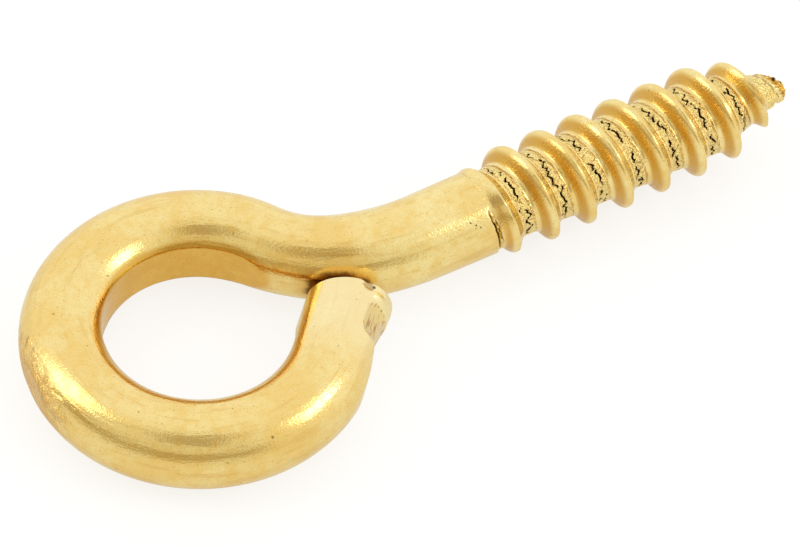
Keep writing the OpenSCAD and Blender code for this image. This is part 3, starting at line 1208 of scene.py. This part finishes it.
@dataclass(frozen=True)
class Studio:
    """A white floor and a pale room, with whoever stands behind the camera."""

    floor_size: float = 0.6
    floor_tilt: float = 1.16
    floor_at: tuple[float, float] = (-4.6, -1.5)
    lamps: tuple[Softbox, ...] = (
        Softbox("softbox_right", -39.0, 36.0, 20.0, 19.0, 3.0),
        Softbox("softbox_left", 148.5, 40.5, 24.0, 36.0, 1.6, "#FFFCEE"),
    )
    # Unit vectors away from the camera, to the room's dim side and to who stands there.
    far: tuple[float, float, float] = (0.766, 0.643, 0.0)
    dim: tuple[float, float, float] = (-0.819, -0.574, 0.0)
    watcher: tuple[float, float, float] = (-0.27, -0.41, 0.87)
    # How dim that side is, from the horizon up.
    dimness: Points = (
        (0.0, 0.2), (0.08, 0.3), (0.16, 0.85), (0.22, 1.0), (0.33, 1.0), (0.42, 0.6),
        (0.52, 0.28), (0.75, 0.15), (1.0, 0.0),
    )
    white: str = "#FFFFFF"
    paper: str = "#F0F0F0"
    # The floor as the metal mirrors it, on the camera's side and beyond: painted shade on the
    # camera's side.
    floor_near: str = "#EDE7D6"
    floor_far: str = "#FCFCFA"
    # How much of the paper's look is glow, to all that sees it and further to the camera.
    glow: float = 0.6
    camera_glow: float = 0.1
    # That glow's level to the camera, which with what is lit comes to white.
    paper_level: tuple[float, float, float, float] = (1.12, 1.12, 1.12, 1.0)
    walls: str = "#F1ECDA"
    dim_walls: str = "#C8BAA0"
    clothes: str = "#CDC3B4"

    def floor(self) -> bpy.types.Object:
        """The floor, which touches the eye and the first full crest."""
        half = self.floor_size / 2
        corners = [(-half, -half, 0), (half, -half, 0), (half, half, 0), (-half, half, 0)]
        mesh = new_mesh("floor", np.array(corners), np.array([[0, 1, 2, 3]]))
        tilt = Matrix.Rotation(math.radians(self.floor_tilt), 4, "Y")
        place = Vector((self.floor_at[0], 0, self.floor_at[1])) * MM
        mesh.transform(Matrix.Translation(place) @ tilt)
        # White paper: it is lit as paper is, and shows white to the camera.
        paper = bpy.data.materials.new("white_paper")
        paper.use_nodes = True
        tree = paper.node_tree
        tree.nodes.clear()
        ray = add_node(tree, "ShaderNodeLightPath").outputs
        known = {
            "camera": ray["Is Camera Ray"],
            "mirror": ray["Is Glossy Ray"],
            "glass": ray["Is Transmission Ray"],
            "place": add_node(tree, "ShaderNodeTexCoord").outputs["Object"],
        }
        work_out(
            tree,
            known,
            (
                ("more", "camera", "*", self.camera_glow),
                ("seen", "camera", "max", "mirror", "max", "glass"),
                ("share", "seen", "*+", self.glow, "more"),
                # What the metal mirrors of it is painted darker and warmer on the camera's side,
                # as shade.
                ("beyond", Kind.TOWARDS, "place", self.far),
                ("pale", Kind.FADE, "beyond", -0.03, 0.03),
                ("mirrored", Kind.TINT, "pale", linear(self.floor_near), linear(self.floor_far)),
                ("shown", Kind.TINT, "camera", "mirrored", self.paper_level),
            ),
        )
        lit = add_node(tree, "ShaderNodeBsdfDiffuse", inputs={"Color": linear(self.paper)})
        glow = add_node(tree, "ShaderNodeEmission", inputs={"Color": known["shown"]})
        mixed = add_node(tree, "ShaderNodeMixShader", inputs={0: known["share"], 1: lit, 2: glow})
        add_node(tree, "ShaderNodeOutputMaterial", inputs={"Surface": mixed})
        mesh.materials.append(paper)
        floor = show(bpy.data.objects.new("floor", mesh))
        return floor

    def room(self) -> bpy.types.World:
        """The room: pale all round, darker low down on the camera's side."""
        world = bpy.data.worlds.new("studio")
        bpy.context.scene.world = world
        world.use_nodes = True
        tree = world.node_tree
        tree.nodes.clear()
        towards = add_node(tree, "ShaderNodeTexCoord").outputs["Generated"]
        height = add_node(tree, "ShaderNodeSeparateXYZ", inputs={0: towards}).outputs["Z"]
        drop = add_node(tree, "ShaderNodeFloatCurve", inputs={"Value": height})
        set_curve(drop, self.dimness)
        ray = add_node(tree, "ShaderNodeLightPath").outputs["Is Camera Ray"]
        known = {"towards": towards, "drop": drop, "camera": ray}
        work_out(
            tree,
            known,
            (
                ("flat", Kind.STRETCHED, "towards", (1, 1, 0)),
                ("level", Kind.UNIT, "flat"),
                ("to far", Kind.TOWARDS, "towards", self.far),
                ("beyond", Kind.FADE, "to far", -0.6, 0.4),
                ("to dim", Kind.TOWARDS, "level", self.dim),
                ("dim side", Kind.FADE, "to dim", 0.3, 0.6),
                ("low", "dim side", "*", "drop"),
                ("to watcher", Kind.TOWARDS, "towards", self.watcher),
                ("watched", Kind.FADE, "to watcher", 0.94, 0.985),
                ("pale", Kind.TINT, "beyond", linear(self.walls), linear(self.white)),
                ("dimmed", Kind.SHADE, "low", "pale", linear(self.dim_walls)),
                ("room", Kind.SHADE, "watched", "dimmed", linear(self.clothes)),
                ("shown", Kind.TINT, "camera", "room", linear(self.white)),
            ),
        )
        back = add_node(tree, "ShaderNodeBackground", inputs={"Color": known["shown"]})
        add_node(tree, "ShaderNodeOutputWorld", inputs={"Surface": back})
        return world

    def build(self) -> None:
        """The floor, the room and its lamps."""
        self.floor()
        self.room()
        for lamp in self.lamps:
            lamp.build()


def main() -> None:
    """Builds the screw eye and the studio round it."""
    logging.basicConfig(level=logging.INFO, format="%(message)s")
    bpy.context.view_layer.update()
    piece = ScrewEye().build()
    LOG.info("%s: %d faces", piece.name, len(piece.data.polygons))
    View().build()
    Studio().build()
    bpy.context.scene.view_settings.view_transform = "Standard"


if __name__ == "__main__":
    main()
